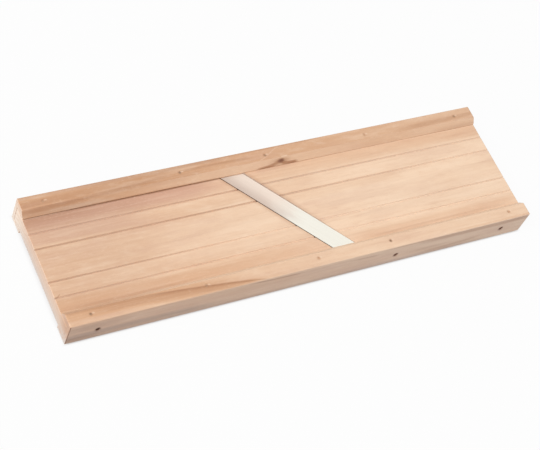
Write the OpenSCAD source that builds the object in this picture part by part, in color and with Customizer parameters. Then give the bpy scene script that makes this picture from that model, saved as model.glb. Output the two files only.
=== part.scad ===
// Wooden food cutter: a two-board bed between two nailed rails, with one fixed diagonal blade.
// Food slides along the bed towards +X, over the mouth in front of the blade.
// Origin: middle of the slicer, on the surface it stands on. +X outfeed end, +Z up.

/* [Body] */
// Length of the rails and of the whole bed
body_l = 400; // [320:5:560]
// Clear width of the bed between the two rails
channel_w = 80.6; // [64:0.2:140]
// Radius of the eased edges on the wooden pieces
arris_r = 0.8; // [0.4:0.1:1.5]

/* [Rails] */
// Width of a rail at its foot
rail_w = 15; // [13:0.5:24]
// Width of the flat top of a rail, outside its bevel
rail_top_w = 10.9; // [8:0.1:12]
// Height of a rail's foot below the bed
foot_h = 3.5; // [3:0.1:12]
// Height of a rail's lip above the outfeed board
lip_h = 5.8; // [3:0.1:12]
// Upright land at the lower edge of the bevelled lip
lip_land = 0.6; // [0.4:0.1:1.5]
// Depth of the housing that takes the edges of the boards
housing_d = 11; // [8:0.2:11.4]

/* [Bed] */
// Thickness of the outfeed board
bed_t = 14.8; // [10:0.1:22]
// Drop of the infeed board below the blade, which sets the slice
slice_t = 0.6; // [0.5:0.1:3]
// Distance of the inner grooves from the middle of the bed
groove_in = 14.1; // [10:0.1:18]
// Distance from one groove to the next one outside it
groove_pitch = 13.2; // [8:0.1:13.5]
// Grooves on each side of the middle of the bed
groove_count = 2; // [1:1:2]
// Width of a groove at the surface
groove_w = 1.2; // [0.8:0.1:2]
// Depth of a groove
groove_d = 1; // [0.5:0.1:2]
// Play above the outfeed board and behind each board's edge
housing_gap = 0.1; // [0.05:0.05:0.3]

/* [Blade] */
// Angle between the blade and the rails
blade_angle = 52.3; // [45:0.1:75]
// Place of the cutting edge on the bed's centre line
edge_x = -8; // [-30:0.1:30]
// Width of the blade
blade_w = 15.2; // [13:0.1:24]
// Thickness of the blade
blade_t = 1; // [0.6:0.1:2]
// Width of the bevel ground under the cutting edge
bevel_w = 2.4; // [1.5:0.1:4]
// Thickness left at the cutting edge
edge_t = 0.1; // [0.05:0.05:0.2]
// Length of blade that each rail's housing holds
blade_hold = 8; // [5:0.5:7.5]
// Play behind the back of the blade
seat_gap = 0.6; // [0.1:0.1:1]

/* [Mouth] */
// Width of the mouth between the infeed board and the cutting edge
mouth_w = 0.2; // [0.2:0.1:2]
// Height of the infeed board's upright face at the mouth
mouth_land = 2; // [1:0.1:4]
// Width of blade that stands over the throat without support
overhang = 4; // [3:0.1:6]
// Slope of the throat under the infeed board
throat_in = 48; // [40:1:75]
// Slope of the throat under the blade
throat_out = 50; // [42:1:75]

/* [Brads] */
// Diameter of a brad
brad_d = 1.2; // [0.8:0.1:1.6]
// Length of a brad
brad_l = 16; // [10:0.5:18]
// Diameter of a brad's head
brad_head_d = 2; // [1.8:0.1:2.6]
// Height of a brad's head
brad_head_h = 1; // [0.6:0.1:1.5]
// Distance of the brads from a rail's outer face
brad_in = 6.6; // [6:0.1:7.5]
// Distance of the end brads from the ends of the rails
brad_end = 18; // [12:0.5:30]
// Distance of a brad in front of the cutting edge
brad_mouth = 26; // [18:0.5:35]
// Distance of the near rail's brad behind the blade
brad_back_near = 19.5; // [12:0.5:35]
// Distance of the far rail's brad behind the blade
brad_back_far = 28.5; // [12:0.5:35]
// Share of the way from end brad to blade brad where the middle brad sits
brad_mid = 0.49; // [0.4:0.01:0.6]

/* [Nails] */
// Diameter of a side nail
nail_d = 2.2; // [1.6:0.1:2.8]
// Length of a side nail
nail_l = 28; // [20:1:35]
// Diameter of a side nail's head
nail_head_d = 3.8; // [3:0.1:5]
// Height of a side nail's head
nail_head_h = 0.9; // [0.6:0.1:1.5]
// Height of the side nails above the underside of the bed
nail_up = 8; // [4:0.5:10]
// Distance of the end nails from the ends of the rails
nail_end = 23.5; // [18:0.5:40]
// Distance of a nail from the blade's nearer side
nail_blade = 21; // [14:0.5:40]
// Depth that the heads of brads and nails are set below the wood
head_sink = 0.4; // [0.2:0.1:0.8]
// Play round the shanks and heads of brads and nails
nail_play = 0.05; // [0.02:0.01:0.1]

/* [Hidden] */
$fn = 48;

housing_h = bed_t + housing_gap;
rail_h = foot_h + housing_h + lip_h;
body_w = channel_w + 2 * rail_w;
board_w = channel_w + 2 * (housing_d - housing_gap);
bed_z = foot_h + bed_t;
infeed_z = bed_z - slice_t;
nail_z = foot_h + nail_up;
brad_y = body_w / 2 - brad_in;
skew = 90 - blade_angle;
// Reach of the cutting shapes, past every side of the slicer
reach = 2 * (body_l + body_w);
cut = 1;

// Where a line along the blade, u from the cutting edge, crosses a given y
function along_blade(u, y) = edge_x + (u - y * sin(skew)) / cos(skew);

// Brad places along one rail: side is -1 at the near rail and 1 at the far rail
function mouth_brad(side) = along_blade(0, side * brad_y) - brad_mouth;
function back_brad(side) =
    along_blade(blade_w, side * brad_y) + (side < 0 ? brad_back_near : brad_back_far);
function brad_places(side) =
    let (low = brad_end - body_l / 2, high = body_l / 2 - brad_end)
    side < 0
        ? [low, low + brad_mid * (mouth_brad(side) - low), mouth_brad(side), back_brad(side), high]
        : [low, mouth_brad(side), back_brad(side), high + brad_mid * (back_brad(side) - high), high];

// Nail places along one rail: the long side of each board has one nail at its end
function nail_places(side) =
    let (low = nail_end - body_l / 2, high = body_l / 2 - nail_end)
    side < 0
        ? [low, along_blade(blade_w, side * body_w / 2) + nail_blade, high]
        : [low, along_blade(0, side * body_w / 2) - nail_blade, high];

// Square corner outside a quarter circle of radius r
module corner(r) {
    difference() {
        translate([-cut, -cut]) square(r + cut);
        translate([r, r]) circle(r);
    }
}

// Rectangle about the origin with rounded corners
module eased_rectangle(w, h, r) {
    difference() {
        square([w, h], center = true);
        for (a = [0, 1], b = [0, 1])
            mirror([a, 0]) mirror([0, b]) translate([-w / 2, -h / 2]) corner(r);
    }
}

// Block about the origin, standing on z = 0, with every edge eased
module eased_block(l, w, h, r) {
    intersection() {
        linear_extrude(h) eased_rectangle(l, w, r);
        translate([0, 0, h / 2]) rotate([90, 0, 0])
            linear_extrude(w + 2 * cut, center = true) eased_rectangle(l, h, r);
        translate([0, 0, h / 2]) rotate([90, 0, 90])
            linear_extrude(l + 2 * cut, center = true) eased_rectangle(w, h, r);
    }
}

// Section drawn as (u, z), u square to the blade from its cutting edge, swept along the blade
module sweep_along_blade() {
    translate([edge_x, 0, 0]) rotate([90, 0, skew])
        linear_extrude(reach, center = true) children();
}

// Wire nail along +X from its head at x = 0, grown by the play for its hole
module wire_nail(d, l, head_d, head_h, play = 0) {
    point_l = 1.5 * d;
    rotate([0, 90, 0]) {
        translate([0, 0, play > 0 ? -cut : 0])
            cylinder(d = head_d + 2 * play, h = head_h + play + (play > 0 ? cut : 0));
        cylinder(d = d + 2 * play, h = l - point_l);
        translate([0, 0, l - point_l])
            cylinder(d1 = d + 2 * play, d2 = 0.2 * d + 2 * play, h = point_l + play);
    }
}

// Row of brads driven down through one rail's lip
module brads(side, play = 0) {
    for (x = brad_places(side))
        translate([x, side * brad_y, rail_h - head_sink]) rotate([0, 90, 0])
            wire_nail(brad_d, brad_l, brad_head_d, brad_head_h, play);
}

// Row of nails driven through one rail's outer wall
module side_nails(side, play = 0) {
    for (x = nail_places(side))
        translate([x, side * (body_w / 2 - head_sink), nail_z]) rotate([0, 0, -side * 90])
            wire_nail(nail_d, nail_l, nail_head_d, nail_head_h, play);
}

module all_nail_holes() {
    for (side = [-1, 1]) {
        brads(side, nail_play);
        side_nails(side, nail_play);
    }
}

// Section of a rail as (distance from its outer face, z)
module rail_section() {
    difference() {
        polygon([
            [0, 0],
            [rail_w, 0],
            [rail_w, foot_h + housing_h + lip_land],
            [rail_top_w, rail_h],
            [0, rail_h]
        ]);
        translate([rail_w - housing_d, foot_h]) square([housing_d + cut, housing_h]);
    }
}

module rail(side) {
    difference() {
        intersection() {
            translate([0, side * (body_w - rail_w) / 2, 0]) eased_block(body_l, rail_w, rail_h, arris_r);
            mirror([0, side > 0 ? 1 : 0, 0]) translate([0, -body_w / 2, 0]) rotate([90, 0, 90])
                linear_extrude(body_l + 2 * cut, center = true) rail_section();
        }
        brads(side, nail_play);
        side_nails(side, nail_play);
    }
}

// Grooves along the bed, drawn for a board whose surface is at z
module bed_grooves(z) {
    for (side = [-1, 1], k = [0 : groove_count - 1])
        translate([0, side * (groove_in + k * groove_pitch), z]) rotate([90, 0, 90])
            linear_extrude(body_l + 2 * cut, center = true)
                polygon([[-groove_w / 2, 0], [0, -groove_d], [groove_w / 2, 0], [groove_w / 2, cut],
                         [-groove_w / 2, cut]]);
}

module infeed_board() {
    color("burlywood") difference() {
        intersection() {
            translate([0, 0, foot_h]) eased_block(body_l, board_w, bed_t - slice_t, arris_r / 2);
            sweep_along_blade() polygon([
                [-mouth_w, infeed_z + cut],
                [-mouth_w, infeed_z - mouth_land],
                [-mouth_w - (infeed_z - mouth_land - foot_h) / tan(throat_in), foot_h],
                [-reach, foot_h],
                [-reach, infeed_z + cut]
            ]);
        }
        bed_grooves(infeed_z);
        all_nail_holes();
    }
}

module outfeed_board() {
    color("wheat") difference() {
        intersection() {
            translate([0, 0, foot_h]) eased_block(body_l, board_w, bed_t, arris_r / 2);
            sweep_along_blade() polygon([
                [overhang, bed_z - blade_t],
                [blade_w + seat_gap, bed_z - blade_t],
                [blade_w + seat_gap, bed_z + cut],
                [reach, bed_z + cut],
                [reach, foot_h],
                [overhang + (bed_t - blade_t) / tan(throat_out), foot_h]
            ]);
        }
        bed_grooves(bed_z);
        all_nail_holes();
    }
}

// Flat strip, ground underneath to its cutting edge, with both ends cut parallel to the rails
module blade() {
    color("gainsboro") intersection() {
        sweep_along_blade() polygon([
            [0, bed_z],
            [0, bed_z - edge_t],
            [bevel_w, bed_z - blade_t],
            [blade_w, bed_z - blade_t],
            [blade_w, bed_z]
        ]);
        cube([body_l, channel_w + 2 * blade_hold, 3 * rail_h], center = true);
    }
}

module near_rail() color("tan") rail(-1);
module far_rail() color("peru") rail(1);
module near_rail_brads() color("dimgray") brads(-1);
module far_rail_brads() color("dimgray") brads(1);
module near_side_nails() color("darkslategray") side_nails(-1);
module far_side_nails() color("darkslategray") side_nails(1);

near_rail();
far_rail();
infeed_board();
outfeed_board();
blade();
near_rail_brads();
far_rail_brads();
near_side_nails();
far_side_nails();
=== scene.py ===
"""Wooden food cutter: dresses its rails, boards, blade and nails, and sets the stage and camera."""

import math
from dataclasses import dataclass

import bpy
from mathutils import Matrix, Vector


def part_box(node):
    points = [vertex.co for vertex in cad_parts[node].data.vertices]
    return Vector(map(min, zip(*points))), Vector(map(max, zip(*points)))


bl_info = {
    "name": "Wooden Food Cutter",
    "version": (1, 0, 0),
    "blender": (4, 5, 0),
    "location": "View3D > Sidebar > Food Cutter",
    "description": "Dresses a wooden slicer in sanded wood and ground steel",
    "category": "Object",
}

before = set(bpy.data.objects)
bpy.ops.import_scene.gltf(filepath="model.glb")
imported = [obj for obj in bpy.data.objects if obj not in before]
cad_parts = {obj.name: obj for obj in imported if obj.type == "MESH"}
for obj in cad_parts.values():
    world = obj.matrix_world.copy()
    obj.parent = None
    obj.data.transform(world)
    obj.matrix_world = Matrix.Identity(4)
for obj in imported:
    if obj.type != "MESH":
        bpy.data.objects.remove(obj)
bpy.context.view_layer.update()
MM = 0.001

# Places taken from the frame, in millimetres
HALF_LENGTH, HALF_WIDTH, RAIL_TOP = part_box("far_rail")[1] / MM
BED_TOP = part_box("outfeed_board")[1].z / MM
INFEED_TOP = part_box("infeed_board")[1].z / MM
BLADE_LOW, BLADE_HIGH = (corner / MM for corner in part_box("blade"))
# Angle between the cutting edge and the rails
BLADE_ANGLE = math.radians(52.3)
BLADE_WIDTH = 15.2
# Distances of the bed's grooves from its middle
GROOVES = (-27.3, -14.1, 14.1, 27.3)


@dataclass
class Stripe:
    """A stretch of grain, painted shade or painted light along a line of (x, y) points, or (x, z) on a rail's side or
    lip.

    It reaches `below` and `above` the line, keeps its full share over the part `core` of that, and fades
    out over `fade` at both ends.
    """
    path: tuple
    below: float
    above: float
    share: float
    tint: str = "brown"
    face: str = "top"
    core: float = 0.1
    fade: float = 20.0


@dataclass
class Knot:
    """A dark pin knot at (x, y), with its half length and half width."""
    place: tuple
    size: tuple


@dataclass
class Cut:
    """How one piece was sawn from its log: where the pith runs, its tone at both ends, its marks; the darker left end
    is partly painted shade, and some marks are painted shade and some painted light.
    """
    seed: float
    pith: tuple
    tilt: float
    tan_low: float
    tan_high: float
    figure: float
    stripes: tuple = ()
    knots: tuple = ()
    groove_top: float = 0.0
    groove_light: float = 0.0
    # For each groove, how much painted shade browns it at the board's left and right end; below 0 painted light makes
    # it paler than the wood
    grooves: tuple = ()


NEAR_RAIL_CUT = Cut(
    seed=1.0, pith=(-95.0, -20.0), tilt=0.02, tan_low=0.62, tan_high=0.02, figure=0.28,
    stripes=(
        Stripe(((-215, -43), (-150, -44), (-90, -48.5), (-50, -50.5)), 5.0, 5.0, 0.75, tint="tan", core=0.4, fade=50),
        Stripe(((-215, -48), (-155, -48), (-120, -50), (-85, -53), (-40, -55)), 5.5, 3.5, 0.75, tint="tan",
               core=0.5),
        Stripe(((-190, -47), (-140, -48.5), (-100, -50.5), (-60, -53)), 3.5, 3.0, 0.30, core=0.4, fade=30),
        Stripe(((-215, -44.0), (-140, -45.4), (-100, -48.4), (-45, -54.2)), 2.4, 1.4, 0.50),
        Stripe(((-135, -45.6), (-95, -48.8), (-55, -53.4), (-40, -55.4)), 0.8, 0.8, 0.55, fade=10),
        Stripe(((-215, -52), (-130, -54)), 3.0, 2.0, 0.30, tint="pink", fade=40),
        Stripe(((90, -48), (225, -48)), 5.5, 5.0, 0.22, tint="tan", core=0.4, fade=40),
        Stripe(((20, -48), (125, -48)), 6.0, 5.0, 0.09, tint="tan", core=0.5, fade=30),
        Stripe(((55, -41.5), (210, -41.5)), 2.0, 1.8, 0.20, tint="tan"),
        Stripe(((110, -54.2), (225, -54.2)), 1.8, 1.5, 0.35, tint="tan", core=0.3, fade=30),
        # Painted light: the lip, which faces away from the lamp, made paler
        Stripe(((-235, 21.5), (400, 21.5)), 5.0, 5.0, 0.80, tint="cream", face="lip", core=0.9, fade=150),
        Stripe(((-150, 23.4), (225, 23.4)), 2.2, 2.0, 0.50, tint="pale", face="lip", core=0.3, fade=60),
        Stripe(((-215, 22.5), (-60, 23.0)), 3.0, 2.0, 0.25, tint="tan", face="side", fade=40),
        Stripe(((-140, 23.2), (130, 23.2)), 2.8, 2.0, 0.34, tint="cream", face="side", core=0.3, fade=40),
        Stripe(((-62, 23.0), (-35, 21.0), (-8, 20.5)), 1.8, 1.4, 0.55, face="side", fade=14),
        Stripe(((-125, 18), (0, 17)), 5.0, 5.0, 0.08, tint="cream", face="side", core=0.5, fade=30),
        Stripe(((-125, 18), (0, 17)), 5.0, 5.0, 0.10, tint="tan", face="side", core=0.5, fade=30),
        Stripe(((20, 3), (120, 3)), 3.0, 3.5, 0.25, tint="shade", face="side", core=0.4, fade=25),
        Stripe(((30, 18.8), (62, 17.6)), 1.6, 1.6, 0.40, face="side", fade=12),
        Stripe(((55, 22.4), (210, 22.4)), 1.3, 1.2, 0.35, face="side"),
        Stripe(((85, 21.0), (140, 20.2), (215, 21.0)), 4.0, 3.0, 0.40, face="side", fade=30),
        Stripe(((95, 5.0), (135, 6.0), (165, 9.0)), 3.0, 3.0, 0.35, face="side", fade=20),
        Stripe(((80, 10.5), (130, 9.5)), 4.0, 3.0, 0.25, face="side", fade=20),
        # Painted shade on the side: darker towards the left end and along the foot
        Stripe(((-235, 8.0), (-150, 7.5), (-60, 5.0)), 6.0, 5.5, 0.62, tint="dust", face="side", fade=50),
        Stripe(((-235, 17), (-140, 18)), 6.0, 5.0, 0.25, tint="dust", face="side", core=0.4, fade=50),
        Stripe(((-235, 17), (-140, 18)), 6.0, 5.0, 0.12, face="side", core=0.4, fade=50),
        Stripe(((-235, 4.5), (-155, 3.0)), 5.0, 4.5, 0.38, tint="knot", face="side", core=0.3, fade=40),
        Stripe(((-215, 0), (190, 0)), 1.0, 7.0, 0.35, tint="dust", face="side", core=0.15, fade=50),
        Stripe(((-206, 12), (-198.8, 12)), 30, 30, 0.80, tint="knot", face="side", core=0.9, fade=0.6),
    ),
)
FAR_RAIL_CUT = Cut(
    seed=21.0, pith=(110.0, -30.0), tilt=-0.015, tan_low=1.05, tan_high=0.74, figure=0.20,
    stripes=(
        Stripe(((-215, 42.4), (-160, 44.4), (-115, 46.0), (-76, 48.0)), 2.6, 1.8, 0.50, fade=30),
        Stripe(((-235, 47.5), (-150, 48.8), (-60, 50.5)), 3.8, 3.8, 0.32, core=0.4, fade=30),
        Stripe(((-165, 54.5), (-20, 54.5)), 3.0, 1.5, 0.18, core=0.3, fade=30),
        Stripe(((-250, 54), (-20, 54)), 3.0, 2.0, 0.18, tint="dust", core=0.3, fade=30),
        Stripe(((-150, 44.8), (-95, 45.2), (-40, 46.4)), 3.0, 2.5, 0.24, core=0.4, fade=30),
        Stripe(((-78, 49.6), (-40, 49.8), (-6, 49.0)), 2.0, 1.6, 0.45, fade=14),
        Stripe(((-60, 54.3), (60, 54.3)), 1.0, 1.0, 0.30),
        # Painted shade: the lip and its foot darker at the left end, then painted light over the rest of the lip
        Stripe(((-215, 40.5), (-105, 41)), 3.0, 2.5, 0.26, tint="dust", core=0.4, fade=60),
        Stripe(((-235, 21.5), (-120, 21.5)), 5.0, 5.0, 0.10, tint="dust", face="lip", core=0.9, fade=60),
        Stripe(((-165, 21.5), (170, 21.5)), 5.0, 5.0, 0.66, tint="cream", face="lip", core=0.9, fade=130),
        Stripe(((100, 21.5), (270, 21.5)), 5.0, 5.0, 0.55, tint="cream", face="lip", core=0.9, fade=60),
        Stripe(((-10, 40.0), (2, 40.5), (9, 41.4), (15, 42.2)), 1.2, 1.2, 0.90, core=0.3, fade=8),
        Stripe(((12, 42.4), (20, 41.2), (31, 40.8)), 1.3, 1.0, 0.95, core=0.3, fade=5),
        Stripe(((0, 41.5), (26, 42.0)), 3.0, 2.5, 0.30, core=0.2, fade=8),
        Stripe(((-8, 43.5), (2, 47.0), (10, 51.5), (17, 54.5)), 0.8, 0.8, 0.20, tint="pale", fade=5),
        Stripe(((14, 44.4), (21, 44.6)), 0.9, 0.9, 0.60, tint="pale", fade=2),
        Stripe(((110, 46.8), (150, 47.4), (225, 48.6)), 3.2, 2.6, 0.34, core=0.2, fade=40),
        Stripe(((50, 51.5), (130, 51)), 3.5, 3.0, 0.40, tint="tan", core=0.3, fade=25),
        Stripe(((100, 52.5), (215, 52.5)), 3.5, 3.5, 0.12, tint="pale", core=0.3, fade=40),
        Stripe(((145, 40.6), (225, 41.2)), 2.2, 2.0, 0.25, fade=40),
        # Painted shadow: a dark line in the gap between the lip and the bed
        Stripe(((-165, 40.0), (-34, 40.0)), 0.7, 0.9, 0.50, core=0.4, fade=24),
    ),
    knots=(Knot((14.4, 42.4), (2.9, 0.50)),),
)
INFEED_CUT = Cut(
    seed=41.0, pith=(8.0, -85.0), tilt=0.01, tan_low=0.58, tan_high=-0.10, figure=0.34,
    groove_top=INFEED_TOP, groove_light=0.30, grooves=((0.13, -0.05), (0.25, -0.12), (0.34, 0.24), (0.16, 0.22)),
    stripes=(
        Stripe(((-235, 39), (-22, 41)), 16.0, 9.0, 0.95, tint="pink", core=0.3, fade=50),
        Stripe(((-235, 40), (-130, 40.5)), 9.0, 3.0, 0.38, core=0.1, fade=40),
        Stripe(((-235, 34), (-85, 34)), 7.0, 6.0, 0.19, core=0.5, fade=40),
        # Painted shadow: a dark line in the gap under the far rail's lip
        Stripe(((-172, 40.8), (-22, 40.8)), 1.7, 2.0, 0.60, core=0.4, fade=24),
        # Painted light: paler along the lip at the left end
        Stripe(((-235, 41.0), (-160, 41.0)), 1.2, 1.5, 0.60, tint="cream", core=0.4, fade=20),
        Stripe(((-260, -36), (50, -36)), 6.0, 7.5, 0.46, tint="tan", core=0.5, fade=100),
        Stripe(((-290, -34.5), (-130, -35.5)), 6.0, 8.0, 0.50, tint="tan", core=0.5, fade=50),
        Stripe(((-201, -27.4), (-198, -26.8), (-194.5, -24.2)), 0.8, 0.8, 0.50, core=0.3, fade=1.5),
        Stripe(((-210, -37), (-130, -38.5), (-75, -38)), 2.5, 2.0, 0.30, fade=40),
        Stripe(((-235, 23), (-90, 22)), 8.0, 8.0, 0.50, tint="pink", core=0.5, fade=50),
        Stripe(((-235, 0), (-90, 0)), 45.0, 45.0, 0.10, tint="dust", core=0.9, fade=60),
        Stripe(((-130, -6), (45, -8)), 22.0, 22.0, 0.20, tint="pale", core=0.5, fade=40),
        Stripe(((-10, -41), (75, -41)), 4.0, 3.0, 0.14, tint="tan", fade=20),
    ),
)
OUTFEED_CUT = Cut(
    seed=61.0, pith=(-6.0, -90.0), tilt=-0.012, tan_low=0.12, tan_high=0.04, figure=0.34,
    groove_top=BED_TOP, groove_light=0.50, grooves=((-0.05, 0.05), (-0.05, 0.12), (0.27, 0.08), (0.27, 0.13)),
    stripes=(
        Stripe(((-30, 36), (100, 36.5), (235, 35)), 10.0, 10.0, 0.42, tint="tan", core=0.4, fade=20),
        Stripe(((-20, 38.5), (30, 39)), 3.0, 3.0, 0.35, tint="pink", fade=14),
        Stripe(((-30, 22), (45, 22)), 12.0, 12.0, 0.20, tint="tan", core=0.6, fade=24),
        Stripe(((30, -37), (215, -36.5)), 6.0, 7.0, 0.34, tint="tan", core=0.4, fade=30),
        Stripe(((46, -38.5), (120, -37.6), (200, -38)), 1.4, 1.2, 0.24, fade=30),
        Stripe(((-20, 12), (120, 11)), 8.0, 5.5, 0.24, tint="tan", core=0.3, fade=25),
        Stripe(((10, 2), (80, 0), (150, -6)), 12.0, 12.0, 0.22, tint="pale", core=0.3, fade=50),
        Stripe(((80, 27), (225, 25)), 12.0, 9.0, 0.14, tint="pale", core=0.4, fade=30),
        Stripe(((40, -12), (225, -16)), 12.0, 12.0, 0.19, tint="pale", core=0.4, fade=40),
        Stripe(((-10, -41), (75, -41)), 4.0, 3.0, 0.14, tint="tan", fade=20),
        # Painted light: paler along the far rail's lip, where its shadow falls
        Stripe(((30, 40.8), (225, 40.8)), 1.5, 2.0, 0.70, tint="cream", core=0.5, fade=50),
    ),
)


class Wire:
    """One output socket in a material, on which Python's operators add Math nodes."""

    def __init__(self, finish, socket):
        self.finish = finish
        self.socket = socket

    def math(self, operation, *others, clamp=False):
        settings = {"operation": operation, "use_clamp": clamp}
        return self.finish.node("ShaderNodeMath", settings, dict(enumerate((self, *others))))["Value"]

    def __add__(self, other):
        return self.math("ADD", other)

    __radd__ = __add__

    def __sub__(self, other):
        return self.math("SUBTRACT", other)

    def __rsub__(self, other):
        return -self + other

    def __mul__(self, other):
        return self.math("MULTIPLY", other)

    __rmul__ = __mul__

    def __truediv__(self, other):
        return self.math("DIVIDE", other)

    def __pow__(self, other):
        return self.math("POWER", other)

    def __neg__(self):
        return self.math("MULTIPLY", -1.0)

    def __abs__(self):
        return self.math("ABSOLUTE")

    def larger(self, other):
        return self.math("MAXIMUM", other)

    def smaller(self, other):
        return self.math("MINIMUM", other)


class Node:
    """A node whose outputs are read by name or number as wires."""

    def __init__(self, finish, node):
        self.finish = finish
        self.node = node

    def __getitem__(self, name):
        return Wire(self.finish, self.node.outputs[name])


class Finish:
    """A material under construction: its node tree and the few moves that all finishes share."""

    def __init__(self, name, tree=None):
        if tree is None:
            self.material = bpy.data.materials.new(name)
            self.material.use_nodes = True
            tree = self.material.node_tree
        self.tree = tree
        self.tree.nodes.clear()

    def node(self, kind, settings=None, values=None):
        """Adds a node: settings first, then a value or a wire for each named or numbered input."""
        node = self.tree.nodes.new(kind)
        for key, value in (settings or {}).items():
            if key == "points":
                self.set_points(node.mapping, value)
            else:
                setattr(node, key, value)
        for key, value in (values or {}).items():
            if isinstance(value, Wire):
                self.tree.links.new(value.socket, node.inputs[key])
            else:
                node.inputs[key].default_value = value
        return Node(self, node)

    @staticmethod
    def set_points(mapping, points):
        """Lays a curve through points; a new curve already has two."""
        curve = mapping.curves[0].points
        while len(curve) < len(points):
            curve.new(0.5, 0.5)
        for corner, point in zip(curve, points):
            corner.location = point
        mapping.update()

    def place(self):
        """Position on the object in millimetres, as three wires."""
        point = self.node("ShaderNodeTexCoord")["Object"]
        scaled = self.node("ShaderNodeVectorMath", {"operation": "SCALE"}, {0: point, "Scale": 1.0 / MM})
        axes = self.node("ShaderNodeSeparateXYZ", None, {0: scaled["Vector"]})
        return axes["X"], axes["Y"], axes["Z"]

    def facing(self):
        """How much the surface faces along each axis, from -1 to 1, as three wires."""
        axes = self.node("ShaderNodeSeparateXYZ", None, {0: self.node("ShaderNodeTexCoord")["Normal"]})
        return axes["X"], axes["Y"], axes["Z"]

    def noise(self, x, y, z, detail=2.0, roughness=0.5):
        """Noise from 0 to 1, about 0.5, over a point whose axes are already stretched."""
        point = self.node("ShaderNodeCombineXYZ", None, {0: x, 1: y, 2: z})["Vector"]
        values = {"Vector": point, "Scale": 1.0, "Detail": detail, "Roughness": roughness}
        return self.node("ShaderNodeTexNoise", {"noise_dimensions": "3D"}, values)["Fac"]

    def ramp(self, value, low, high):
        """0 below low, 1 above high, with a smooth step between. Falls where low is over high."""
        values = {"Value": value, "From Min": low, "From Max": high}
        return self.node("ShaderNodeMapRange", {"interpolation_type": "SMOOTHSTEP"}, values)["Result"]

    def curve(self, value, points, reach):
        """A smooth curve through points of (value, result), whose results lie between -reach and reach."""
        low, high = points[0][0], points[-1][0]
        scaled = [((v - low) / (high - low), (w + reach) / (2.0 * reach)) for v, w in points]
        share = (value - low) / (high - low)
        found = self.node("ShaderNodeFloatCurve", {"points": scaled}, {"Value": share})["Value"]
        return found * (2.0 * reach) - reach

    def mix(self, share, first, second):
        """Mix of two colours, by the numbered sockets of a Mix node that hold colours."""
        first, second = (c if isinstance(c, Wire) else (*c[:3], 1.0) for c in (first, second))
        return self.node("ShaderNodeMix", {"data_type": "RGBA"}, {0: share, 6: first, 7: second})[2]

    def bump(self, height):
        """Height in millimetres, as a bent normal."""
        return self.node("ShaderNodeBump", None, {"Strength": 1.0, "Distance": MM, "Height": height})["Normal"]

    def surface(self, **sockets):
        """The shader; names are the Principled sockets with underscores for spaces."""
        values = {key.replace("_", " "): value for key, value in sockets.items()}
        shader = self.node("ShaderNodeBsdfPrincipled", None, values)["BSDF"]
        self.node("ShaderNodeOutputMaterial", None, {"Surface": shader})
        return self.material


def spots(*nodes):
    """Middle of each separate fastener in the named nodes, in millimetres."""
    found = []
    for node in nodes:
        points = sorted((v.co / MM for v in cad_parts[node].data.vertices), key=lambda p: p.x)
        group = [points[0]]
        for point in points[1:] + [None]:
            if point is None or point.x - group[-1].x > 4.0:
                found.append(sum(group, Vector()) / len(group))
                group = []
            if point is not None:
                group.append(point)
    return found


def stripe_mask(wood, stripe, along, across):
    """1 on the stripe's line, 0 beyond its width, faded at both ends."""
    first, last = stripe.path[0][0], stripe.path[-1][0]
    offset = across - wood.curve(along, stripe.path, 60.0)
    body = (wood.ramp(offset, -stripe.below, -stripe.below * stripe.core)
            * wood.ramp(offset, stripe.above, stripe.above * stripe.core))
    return body * wood.ramp(along, first, first + stripe.fade) * wood.ramp(along, last, last - stripe.fade)


def blade_axes(x, y):
    """Distances along the blade from its far end and across it from the cutting edge."""
    dx, dy = x - BLADE_LOW.x, y - BLADE_HIGH.y
    along = dx * math.cos(BLADE_ANGLE) - dy * math.sin(BLADE_ANGLE)
    across = dx * math.sin(BLADE_ANGLE) + dy * math.cos(BLADE_ANGLE)
    return along, across


def knot_pull(wood, cut, x, y):
    """How far the grain is pushed aside round the knots, in millimetres."""
    pull = None
    for knot in cut.knots:
        (kx, ky), (length, width) = knot.place, knot.size
        near = (((x - kx) / (3.0 * length)) ** 2.0 + ((y - ky) / (3.0 * width)) ** 2.0)
        push = (y - ky) * (-near).math("EXPONENT") * -0.75
        pull = push if pull is None else pull + push
    return pull


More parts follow.
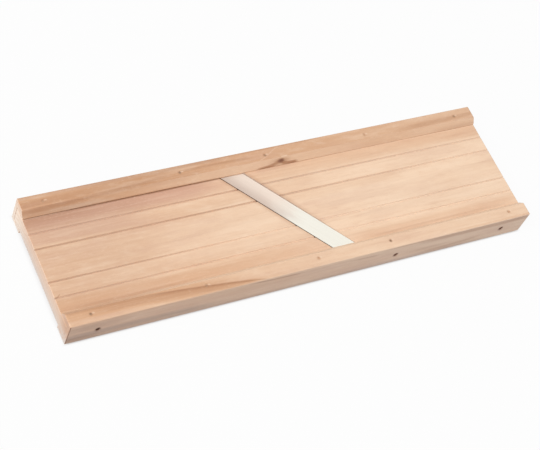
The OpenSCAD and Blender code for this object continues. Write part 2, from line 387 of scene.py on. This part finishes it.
def sawn_wood(name, cut, brads=(), nails=(), span=(0.0, 1.0)):
    """Sanded pale hardwood with its grain along X, as a solid texture in the piece's own millimetres."""
    wood = Finish(name)
    tint = bpy.context.scene.cutter_wood
    x, y, z = wood.place()
    face_x, face_y, face_z = wood.facing()
    end, side = (wood.ramp(abs(face), 0.5, 0.9) for face in (face_x, face_y))
    top = wood.ramp(face_z, 0.5, 0.9)
    lip = side * wood.ramp(z, BED_TOP, BED_TOP + 1.0) * wood.ramp(abs(y), HALF_WIDTH - 2.0, HALF_WIDTH - 3.0)
    side = side * wood.ramp(abs(y), HALF_WIDTH - 1.0, HALF_WIDTH - 0.5)
    pull = knot_pull(wood, cut, x, y)
    flow = y if pull is None else y + pull
    seed_x = x + cut.seed * 97.0

    # Annual rings about a pith that wanders along the log
    sway = wood.noise(seed_x * 0.005, flow * 0.02, z * 0.02, detail=2.0) - 0.5
    off_y = flow + sway * 26.0 - cut.pith[0]
    off_z = z + x * cut.tilt - cut.pith[1]
    growth = (off_y * off_y + off_z * off_z) ** 0.5 / tint.ring_pitch
    ring = (growth + wood.noise(seed_x * 0.003, flow * 0.06, z * 0.06) * 2.0).math("FRACT")
    late = wood.ramp(ring, 0.35, 0.92) * wood.ramp(ring, 1.0, 0.94)

    # Long cloudy bands, streaks, mottled figure, fibres, pores and short bright flecks of ray
    cloud = wood.noise(seed_x * 0.007, flow * 0.055, z * 0.055, detail=3.0, roughness=0.6)
    blush = wood.noise(seed_x * 0.016 + 50.0, flow * 0.09, z * 0.09, detail=3.0, roughness=0.6)
    streak = wood.noise(seed_x * 0.014, flow * 0.55, z * 0.55, detail=4.0, roughness=0.6)
    mottle = wood.noise((seed_x + flow * 0.9) * 0.10, flow * 0.32, z * 0.32, detail=3.0, roughness=0.6)
    fibre = wood.noise(seed_x * 0.09, flow * 3.2, z * 3.2, detail=3.0, roughness=0.65)
    pore = wood.noise(seed_x * 0.45, flow * 7.0, z * 7.0, detail=1.0)
    fleck = wood.noise(seed_x * 0.30, flow * 1.6, z * 1.6 + 20.0, detail=2.0)

    # Tone from tan_low at the left end to tan_high at the right; the darker left end is partly painted shade
    tone = wood.ramp(x + (cloud - 0.5) * 120.0, -HALF_LENGTH, HALF_LENGTH)
    tan = tone * (cut.tan_high - cut.tan_low) + cut.tan_low + (cloud - 0.5) * 0.5
    color = wood.mix(tan.larger(0.0).smaller(1.0), tint.cream, tint.tan)
    color = wood.mix(wood.ramp(blush, 0.45, 0.70) * 0.30, color, tint.pink)
    color = wood.mix(wood.ramp(blush, 0.50, 0.30) * 0.30, color, tint.pale)
    color = wood.mix(wood.ramp(mottle, 0.50, 0.75) * 0.14, color, tint.tan)
    color = wood.mix(wood.ramp(mottle, 0.50, 0.25) * 0.22, color, tint.pale)
    # Painted shade: the rails' outer side faces greyer and darker
    color = wood.mix(side * 0.25, color, tint.shade)

    # Stripes of grain, painted shade and painted light follow the grain: their lines wobble with the fibres, narrow
    # ones less
    wobble = (streak - 0.5) * 1.6 + (cloud - 0.5) * 2.0
    faces = {"top": (flow, 1.0 - side), "side": (z, side), "lip": (z, lip)}
    for stripe in cut.stripes:
        across, face = faces[stripe.face]
        stray = wobble * min(1.0, (stripe.below + stripe.above) / 6.0)
        mask = stripe_mask(wood, stripe, x, across + stray) * face * wood.ramp(streak, -0.10, 0.45)
        color = wood.mix(mask * stripe.share, color, getattr(tint, stripe.tint))

    color = wood.mix(late * tint.ring_share * cut.figure, color, tint.brown)
    color = wood.mix(wood.ramp(streak, 0.50, 0.72) * 0.25 * cut.figure, color, tint.brown)
    color = wood.mix(wood.ramp(streak, 0.50, 0.30) * 0.35 * cut.figure, color, tint.pale)
    color = wood.mix(wood.ramp(fibre, 0.52, 0.72) * 0.10, color, tint.brown)
    color = wood.mix(wood.ramp(fleck, 0.60, 0.68) * 0.15, color, tint.pale)
    pores = wood.ramp(pore, 0.66, 0.74)
    color = wood.mix(pores * 0.22, color, tint.brown)

    for knot in cut.knots:
        (kx, ky), (length, width) = knot.place, knot.size
        rim = (((x - kx) / length) ** 2.0 + ((flow - ky) / width) ** 2.0) ** 0.5
        rim = rim + (fibre - 0.5) * 1.6 + (fleck - 0.5) * 2.0
        color = wood.mix(wood.ramp(rim, 2.6, 0.8) * 0.5, color, tint.brown)
        color = wood.mix(wood.ramp(rim, 1.5, 0.3) * 0.9, color, tint.knot)

    # Painted light and painted shade in the grooves: paler inside, browner along each, uneven along it, and paler
    # where its share is below 0
    upper = wood.ramp(z, cut.groove_top - 1.3, cut.groove_top - 0.9)
    inside = wood.ramp(z, cut.groove_top - 0.1, cut.groove_top - 0.4) * upper
    color = wood.mix(inside * cut.groove_light, color, tint.bare_and_lit)
    for middle, (left, right) in zip(GROOVES, cut.grooves):
        groove_shading = wood.ramp(x, *span) * (right - left)
        groove_shading = (groove_shading + left) * (0.5 + streak) * wood.ramp(abs(y - middle), 1.3, 0.4) * upper
        color = wood.mix(groove_shading.larger(0.0), color, tint.brown)
        color = wood.mix((-groove_shading).larger(0.0), color, tint.bare_and_lit)

    # Darker wood on both sides of the blade
    if cut.groove_top:
        along, across = blade_axes(x, y)
        darkening = wood.ramp(across, BLADE_WIDTH + 5.5, BLADE_WIDTH + 0.5).smaller(wood.ramp(across, -4.0, 0.0))
        color = wood.mix(darkening * wood.ramp(along, 115.0, 60.0) * 0.30, color, tint.brown)
        # Painted shade: a thin grey line on the wood along the blade's back edge
        edge = wood.ramp(across, BLADE_WIDTH + 1.6, BLADE_WIDTH + 0.6) * wood.ramp(across, 8.0, 9.0)
        color = wood.mix(edge * wood.ramp(along, 125.0, 40.0) * 0.75, color, tint.dust)

    # Crushed fibres round the brad heads, with a pale spot beside each brad
    for spot in brads:
        reach = ((x - spot.x) ** 2.0 + (y - spot.y) ** 2.0) ** 0.5
        color = wood.mix(wood.ramp(reach, 2.4, 0.9) * top * 0.32, color, tint.brown)
        pale_spot = (((x - spot.x - 1.9) / 1.3) ** 2.0 + ((y - spot.y - 0.6) / 0.7) ** 2.0) ** 0.5
        color = wood.mix(wood.ramp(pale_spot, 1.3, 0.5) * top * 0.35, color, tint.pale)
    # Round each side nail a dark stain stretched downwards: partly crushed fibres, partly painted shade of a deeper
    # sunk hole
    for spot in nails:
        reach = ((x - spot.x) ** 2.0 + ((z - spot.z + 0.5) * 0.85) ** 2.0) ** 0.5
        outside = wood.ramp(abs(y), HALF_WIDTH - 6.0, HALF_WIDTH - 5.0)
        color = wood.mix(wood.ramp(reach, 3.2, 1.8) * outside * (0.80 - side * 0.45), color, tint.knot)

    # End grain: drier, with rings that stand out, grey at the foot, paler far off and browner near by
    rise = wood.ramp(z, 1.0, 17.0)
    grain_end = wood.mix(rise, tint.end_foot, tint.end)
    grain_end = wood.mix(wood.ramp(y, 20.0, 52.0) * wood.ramp(z, 26.0, 16.0) * 0.6, grain_end, tint.bare_and_lit)
    grain_end = wood.mix(wood.ramp(y, -36.0, -50.0) * rise * 0.5, grain_end, tint.brown)
    grain_end = wood.mix(late * 0.25, grain_end, tint.tan)
    grain_end = wood.mix(pores * 0.3, grain_end, tint.brown)
    color = wood.mix(end * 0.9, color, grain_end)

    height = (fibre - 0.5) * 0.04 + (streak - 0.5) * 0.04 - pores * 0.03 - late * 0.01
    rough = 0.56 + (fibre - 0.5) * 0.25 + pores * 0.1 + end * 0.12
    return wood.surface(Base_Color=color, Roughness=rough, Normal=wood.bump(height), Specular_IOR_Level=0.3)


def ground_steel(name):
    """Satin steel with grinding lines along the blade; painted reflection makes it warmer at the far end and towards
    the edge.
    """
    steel = Finish(name)
    tint = bpy.context.scene.cutter_steel
    x, y, z = steel.place()
    along, across = blade_axes(x, y)
    lines = steel.noise(along * 0.04, across * 5.0, z, detail=3.0, roughness=0.7)
    cloud = steel.noise(along * 0.05, across * 0.12, z, detail=3.0)
    # Painted reflection: warm at the far end, browner and darker towards the cutting edge, pale at the near end
    darkening = steel.mix(steel.ramp(across + (cloud - 0.5) * 4.0, 13.0, -1.0), tint.reflected_warm, tint.reflected_edge)
    color = steel.mix(steel.ramp(along + (cloud - 0.5) * 24.0, 84.0, 50.0), tint.pale, darkening)
    color = steel.mix(steel.ramp(lines, 0.45, 0.70) * 0.14, color, tint.shade)
    rough = 0.30 + lines * 0.16 + (cloud - 0.5) * 0.1
    return steel.surface(Base_Color=color, Metallic=1.0, Roughness=rough, Normal=steel.bump(lines * 0.006))


def dull_wire(name, color):
    """Drawn wire with a cut, slightly stained head."""
    wire = Finish(name)
    x, y, z = wire.place()
    patch = wire.noise(x * 1.3, y * 1.3, z * 1.3, detail=3.0, roughness=0.7)
    whole = wire.noise(x * 0.05, y * 0.05, z * 0.05)
    shade = wire.mix(wire.ramp(patch, 0.35, 0.65), color, [c * 0.6 for c in color])
    shade = wire.mix(wire.ramp(whole, 0.4, 0.6) * 0.6, shade, [c * 1.8 for c in color])
    rough = 0.42 + patch * 0.3
    return wire.surface(Base_Color=shade, Metallic=0.85, Roughness=rough, Normal=wire.bump(patch * 0.1))


def dress(node, material):
    """Gives a CAD node one finish, in every slot it has."""
    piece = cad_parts.get(node)
    if piece is None:
        raise RuntimeError(f"the frame has no node {node}")
    if not piece.material_slots:
        piece.data.materials.append(material)
    for slot in piece.material_slots:
        slot.material = material


def tint(name, description, default):
    """A colour that a user would change, in linear values."""
    return bpy.props.FloatVectorProperty(
        name=name, description=description, size=3, subtype="COLOR", min=0.0, max=1.0, default=default)


class WoodSettings(bpy.types.PropertyGroup):
    # Cream: heartwood, and also painted light on the rails' lips and along the bed beside them
    cream: tint("Cream", "Palest heartwood", (0.92, 0.675, 0.485))
    tan: tint("Tan", "Orange-brown wood", (0.66, 0.375, 0.215))
    pink: tint("Pink", "Rosy wood", (0.645, 0.385, 0.275))
    # Brown: late wood and streaks, and also painted shade in the grooves and in the gaps under the lips
    brown: tint("Brown", "Late wood, streaks and pores", (0.40, 0.185, 0.095))
    # Pale: flecks and bleached wood, and also painted light on the near rail's lip
    pale: tint("Pale", "Flecks of ray and bleached wood", (0.95, 0.74, 0.56))
    # Bare: fresh wood, and also painted light inside the grooves
    bare_and_lit: tint("Bare", "Fresh wood in the grooves", (0.97, 0.86, 0.74))
    # Dust: grey marks, and also painted shade along the near rail's foot, under the far lip and beside the blade
    dust: tint("Dust", "Grey handling marks", (0.42, 0.31, 0.26))
    # Shade: painted shade on the rails' outer side faces
    shade: tint("Shade", "Greyer outer faces of the rails", (0.72, 0.56, 0.52))
    knot: tint("Knot", "Pin knots", (0.19, 0.075, 0.045))
    end: tint("End grain", "Dry end grain", (0.745, 0.555, 0.435))
    end_foot: tint("End foot", "Greyer end grain near the floor", (0.67, 0.61, 0.57))
    ring_pitch: bpy.props.FloatProperty(
        name="Ring pitch", description="Width of an annual ring in millimetres", default=4.0, min=1.0)
    ring_share: bpy.props.FloatProperty(
        name="Ring share", description="Strength of the late wood", default=0.16, min=0.0, max=1.0,
        subtype="FACTOR")


class SteelSettings(bpy.types.PropertyGroup):
    pale: tint("Pale", "Bright steel", (0.90, 0.87, 0.78))
    # Warm and edge colours: painted reflection at the blade's far end
    reflected_warm: tint("Warm", "Faintly stained steel", (0.89, 0.75, 0.645))
    reflected_edge: tint("Tarnish", "Stained steel at the cutting edge", (0.66, 0.53, 0.45))
    shade: tint("Shade", "Bottoms of the grinding lines", (0.45, 0.42, 0.38))
    brad: tint("Brad", "Brad heads", (0.46, 0.30, 0.195))
    nail: tint("Nail", "Side nail heads", (0.105, 0.038, 0.016))


class StageSettings(bpy.types.PropertyGroup):
    azimuth: bpy.props.FloatProperty(
        name="Azimuth", description="Camera's azimuth", subtype="ANGLE", default=math.radians(-47.475))
    elevation: bpy.props.FloatProperty(
        name="Elevation", description="Camera's height", subtype="ANGLE", default=math.radians(52.198))
    roll: bpy.props.FloatProperty(
        name="Roll", description="Camera's roll", subtype="ANGLE", default=math.radians(27.8))
    distance: bpy.props.FloatProperty(
        name="Distance", description="From camera to aim", subtype="DISTANCE", unit="LENGTH", default=1.1814)
    aim: bpy.props.FloatVectorProperty(
        name="Aim", description="Point in the middle of the view", subtype="XYZ",
        default=(-0.0145, -0.0056, 0.012))
    lens: bpy.props.FloatProperty(
        name="Lens", description="Focal length in millimetres on a 36 mm sensor", default=103.15)
    sky: bpy.props.FloatProperty(
        name="Sky", description="Strength of the even light", default=0.46, min=0.0)
    key_power: bpy.props.FloatProperty(
        name="Key power", description="Power of the main lamp", unit="POWER", default=340.0, min=0.0)
    key_from: bpy.props.FloatVectorProperty(
        name="Key from", description="Place of the main lamp", subtype="XYZ", default=(-4.2, -0.6, 4.92))
    key_size: bpy.props.FloatProperty(
        name="Key size", description="Side of the main lamp", unit="LENGTH", default=3.6)
    paper: tint("Paper", "Floor as the object sees it", (0.66, 0.66, 0.66))
    glow: bpy.props.FloatProperty(
        name="Glow", description="Share of plain white in the floor that the camera sees", default=0.95,
        min=0.0, max=1.0, subtype="FACTOR")


class CUTTER_OT_rails(bpy.types.Operator):
    """Finish both side rails in sanded wood"""
    bl_idname = "cutter.rails"
    bl_label = "Finish rails"

    def execute(self, context):
        for side, cut in (("near", NEAR_RAIL_CUT), ("far", FAR_RAIL_CUT)):
            brads, nails = spots(f"{side}_rail_brads"), spots(f"{side}_side_nails")
            dress(f"{side}_rail", sawn_wood(f"{side}_rail_wood", cut, brads, nails))
        return {"FINISHED"}


class CUTTER_OT_boards(bpy.types.Operator):
    """Finish both boards of the bed in sanded wood"""
    bl_idname = "cutter.boards"
    bl_label = "Finish boards"

    def execute(self, context):
        for kind, cut in (("infeed", INFEED_CUT), ("outfeed", OUTFEED_CUT)):
            span = [corner.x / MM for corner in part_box(f"{kind}_board")]
            dress(f"{kind}_board", sawn_wood(f"{kind}_wood", cut, span=span))
        return {"FINISHED"}


class CUTTER_OT_blade(bpy.types.Operator):
    """Finish the blade in ground steel"""
    bl_idname = "cutter.blade"
    bl_label = "Finish blade"

    def execute(self, context):
        dress("blade", ground_steel("blade_steel"))
        return {"FINISHED"}


class CUTTER_OT_nails(bpy.types.Operator):
    """Finish the brads and the side nails"""
    bl_idname = "cutter.nails"
    bl_label = "Finish nails"

    def execute(self, context):
        steel = context.scene.cutter_steel
        for kind, nodes in (("brad", ("near_rail_brads", "far_rail_brads")),
                            ("nail", ("near_side_nails", "far_side_nails"))):
            finish = dull_wire(f"{kind}_steel", getattr(steel, kind))
            for node in nodes:
                dress(node, finish)
        return {"FINISHED"}


def add_object(name, data):
    holder = bpy.data.objects.new(name, data)
    bpy.context.scene.collection.objects.link(holder)
    return holder


def add_camera(stage):
    """Camera on a sphere round its aim, rolled about its own axis."""
    az, el = stage.azimuth, stage.elevation
    back = Vector((math.sin(az) * math.cos(el), -math.cos(az) * math.cos(el), math.sin(el)))
    turn = back.to_track_quat("Z", "Y").to_matrix().to_4x4() @ Matrix.Rotation(stage.roll, 4, "Z")
    camera = bpy.data.cameras.new("camera")
    camera.lens = stage.lens
    camera.sensor_width = 36.0
    camera.clip_start = 0.05
    holder = add_object("camera", camera)
    holder.matrix_world = Matrix.Translation(Vector(stage.aim) + back * stage.distance) @ turn
    bpy.context.scene.camera = holder


def add_key_lamp(stage):
    """Large soft lamp from the upper left."""
    lamp = bpy.data.lights.new("key_lamp", "AREA")
    lamp.shape = "SQUARE"
    lamp.size = stage.key_size
    lamp.energy = stage.key_power
    holder = add_object("key_lamp", lamp)
    spot = Vector(stage.key_from)
    holder.matrix_world = Matrix.Translation(spot) @ spot.to_track_quat("Z", "Y").to_matrix().to_4x4()


def add_floor(stage):
    """Pale paper that keeps a faint shadow and is plain white elsewhere to the camera and in steel."""
    reach = 3.0
    corners = [(-reach, -reach, 0), (reach, -reach, 0), (reach, reach, 0), (-reach, reach, 0)]
    mesh = bpy.data.meshes.new("floor")
    mesh.from_pydata(corners, [], [(0, 1, 2, 3)])
    floor = add_object("floor", mesh)
    paper = Finish("floor_paper")
    x, y, z = paper.place()
    beside = paper.ramp(abs(x) - HALF_LENGTH, -8.0, 2.7).larger(paper.ramp(abs(y) - HALF_WIDTH, -0.8, 1.6))
    path = paper.node("ShaderNodeLightPath")
    seen = (path["Is Camera Ray"] * beside * stage.glow).larger(path["Is Glossy Ray"])
    seen = seen.larger(path["Is Transmission Ray"])
    lit = paper.node("ShaderNodeBsdfDiffuse", None, {"Color": (*stage.paper, 1.0)})["BSDF"]
    white = paper.node("ShaderNodeEmission", None, {"Strength": 1.0})["Emission"]
    both = paper.node("ShaderNodeMixShader", None, {0: seen, 1: lit, 2: white})["Shader"]
    paper.node("ShaderNodeOutputMaterial", None, {"Surface": both})
    mesh.materials.append(paper.material)


def set_sky(stage):
    """Even light, and plain white for the camera and in steel."""
    world = bpy.data.worlds.new("studio")
    world.use_nodes = True
    sky = Finish("studio", world.node_tree)
    path = sky.node("ShaderNodeLightPath")
    seen = path["Is Camera Ray"].larger(path["Is Glossy Ray"]).larger(path["Is Transmission Ray"])
    strength = seen * (1.0 - stage.sky) + stage.sky
    light = sky.node("ShaderNodeBackground", None, {"Color": (1.0, 1.0, 1.0, 1.0), "Strength": strength})
    sky.node("ShaderNodeOutputWorld", None, {"Surface": light["Background"]})
    bpy.context.scene.world = world


class CUTTER_OT_stage(bpy.types.Operator):
    """Set the camera, the floor, the lamp and the sky"""
    bl_idname = "cutter.stage"
    bl_label = "Set stage"

    def execute(self, context):
        stage = context.scene.cutter_stage
        for add in (add_camera, add_key_lamp, add_floor, set_sky):
            add(stage)
        context.scene.view_settings.view_transform = "Standard"
        return {"FINISHED"}


STEPS = (CUTTER_OT_stage, CUTTER_OT_rails, CUTTER_OT_boards, CUTTER_OT_blade, CUTTER_OT_nails)
SETTINGS = {
    "cutter_wood": WoodSettings,
    "cutter_steel": SteelSettings,
    "cutter_stage": StageSettings,
}


class CUTTER_PT_panel(bpy.types.Panel):
    """Lists the steps that dress the food cutter"""
    bl_idname = "CUTTER_PT_panel"
    bl_label = "Food Cutter"
    bl_space_type = "VIEW_3D"
    bl_region_type = "UI"
    bl_category = "Food Cutter"

    def draw(self, context):
        for step in STEPS:
            self.layout.operator(step.bl_idname)
        for name, group in SETTINGS.items():
            for key in group.__annotations__:
                self.layout.prop(getattr(context.scene, name), key)


CLASSES = (*SETTINGS.values(), *STEPS, CUTTER_PT_panel)


def register():
    for cls in CLASSES:
        bpy.utils.register_class(cls)
    for name, group in SETTINGS.items():
        setattr(bpy.types.Scene, name, bpy.props.PointerProperty(type=group))


def unregister():
    for name in SETTINGS:
        delattr(bpy.types.Scene, name)
    for cls in reversed(CLASSES):
        bpy.utils.unregister_class(cls)


def main():
    register()
    for step in STEPS:
        group, name = step.bl_idname.split(".")
        getattr(getattr(bpy.ops, group), name)()


if __name__ == "__main__":
    main()
